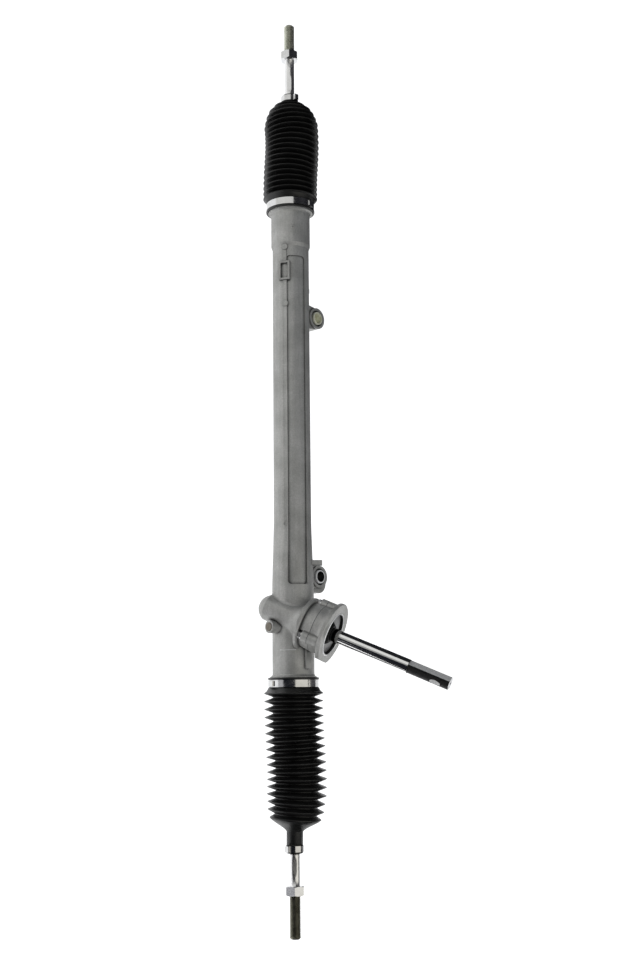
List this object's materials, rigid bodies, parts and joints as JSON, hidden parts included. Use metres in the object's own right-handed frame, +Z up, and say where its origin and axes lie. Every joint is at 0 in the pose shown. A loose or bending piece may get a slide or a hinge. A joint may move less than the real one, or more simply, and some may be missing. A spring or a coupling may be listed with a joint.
{
  "type": "steering rack",
  "caption": "Manual rack-and-pinion steering gear: cast tube with mounting ears, leaning pinion shaft, bellows and threaded tie rods that swing on ball joints.",
  "frame": {"origin": "centre of the mounting sleeve's bore beside the pinion, level with the rack's axis", "axes": "+X along the rack towards the far end, +Y forward from the ears to the rack, +Z up along the mounting bores"},
  "size_m": [1.047, 0.1015, 0.21],
  "materials": {
    "cast_alloy": "as-cast, lightly shot-blasted satin",
    "boot_rubber": "moulded black rubber, semi-gloss",
    "bush_rubber": "matte black rubber",
    "zinc_steel": "bright zinc plate",
    "yellow_zinc": "yellow-passivated zinc plate",
    "band_steel": "stainless strip",
    "shaft_steel": "ground and oiled",
    "bearing_steel": "polished",
    "rack_steel": "ground and greased",
    "vent_bronze": "sintered, dull",
    "gasket_fibre": "dull fibre sheet",
    "seal_rubber": "moulded seal rubber",
    "nylon": "natural nylon"
  },
  "bodies": {
    "root": {"rack_housing": "cast_alloy", "pinion_cover": "cast_alloy", "ear_rubber_near": "bush_rubber", "ear_rubber_far": "bush_rubber", "ear_sleeve_near": "zinc_steel", "ear_sleeve_far": "yellow_zinc", "cover_gasket": "gasket_fibre", "cover_bolts": "zinc_steel", "pinion_oil_seal": "seal_rubber", "pinion_dust_seal": "seal_rubber", "seal_ring": "zinc_steel", "bearing_outer_ring": "bearing_steel", "pinion_lower_bush": "nylon", "rack_yoke": "cast_alloy", "yoke_liner": "nylon", "yoke_ring": "seal_rubber", "yoke_springs": "band_steel", "yoke_plug": "zinc_steel", "yoke_lock_nut": "zinc_steel", "vent_plug": "vent_bronze", "rack_bush": "nylon", "boot_near": "boot_rubber", "boot_band_near": "band_steel", "boot_far": "boot_rubber", "boot_band_far": "band_steel"},
    "rack": {"rack_bar": "rack_steel", "ball_socket_near": "rack_steel", "lock_washer_near": "band_steel", "ball_socket_far": "rack_steel", "lock_washer_far": "band_steel"},
    "pinion": {"pinion_shaft": "shaft_steel", "bearing_inner_ring": "bearing_steel", "bearing_clip": "band_steel"},
    "ball_set": {"bearing_balls": "bearing_steel", "bearing_cage": "nylon"},
    "near_seat": {"ball_seat_near": "nylon"},
    "near_clamp": {"boot_clamp_near": "band_steel"},
    "near_rod": {"tie_rod_near": "zinc_steel", "jam_nut_near": "zinc_steel"},
    "far_seat": {"ball_seat_far": "nylon"},
    "far_clamp": {"boot_clamp_far": "band_steel"},
    "far_rod": {"tie_rod_far": "zinc_steel", "jam_nut_far": "zinc_steel"}
  },
  "joints": [
    {"name": "rack_slide", "type": "slide", "parent": "root", "child": "rack", "axis": [1, 0, 0], "range_m": [-0.036, 0.088], "deforming": ["boot_near", "boot_far"]},
    {"name": "pinion_turn", "type": "hinge", "parent": "root", "child": "pinion", "pos_m": [-0.0465, 0.05555, 0.00595], "axis": [-0.3891, -0.3703, 0.8435], "range_deg": [-295, 721]},
    {"name": "ball_set_turn", "type": "hinge", "parent": "root", "child": "ball_set", "pos_m": [-0.0465, 0.05555, 0.00595], "axis": [-0.3891, -0.3703, 0.8435], "range_deg": [-121, 295]},
    {"name": "near_rod_sweep", "type": "hinge", "parent": "rack", "child": "near_seat", "pos_m": [-0.206, 0.042, 0], "axis": [0, 0, 1], "range_deg": [-17, 17]},
    {"name": "near_rod_rise", "type": "hinge", "parent": "near_seat", "child": "near_clamp", "pos_m": [-0.206, 0.042, 0], "axis": [0, 1, 0], "range_deg": [-17, 17]},
    {"name": "near_rod_spin", "type": "hinge", "parent": "near_clamp", "child": "near_rod", "pos_m": [-0.206, 0.042, 0], "axis": [1, 0, 0], "continuous": true},
    {"name": "far_rod_sweep", "type": "hinge", "parent": "rack", "child": "far_seat", "pos_m": [0.473, 0.042, 0], "axis": [0, 0, 1], "range_deg": [-17, 17]},
    {"name": "far_rod_rise", "type": "hinge", "parent": "far_seat", "child": "far_clamp", "pos_m": [0.473, 0.042, 0], "axis": [0, 1, 0], "range_deg": [-17, 17]},
    {"name": "far_rod_spin", "type": "hinge", "parent": "far_clamp", "child": "far_rod", "pos_m": [0.473, 0.042, 0], "axis": [1, 0, 0], "continuous": true}
  ],
  "couplings": [
    {"joint": "pinion_turn", "follows": "rack_slide", "rad_per_m": 142.86},
    {"joint": "ball_set_turn", "follows": "rack_slide", "rad_per_m": 58.352}
  ]
}
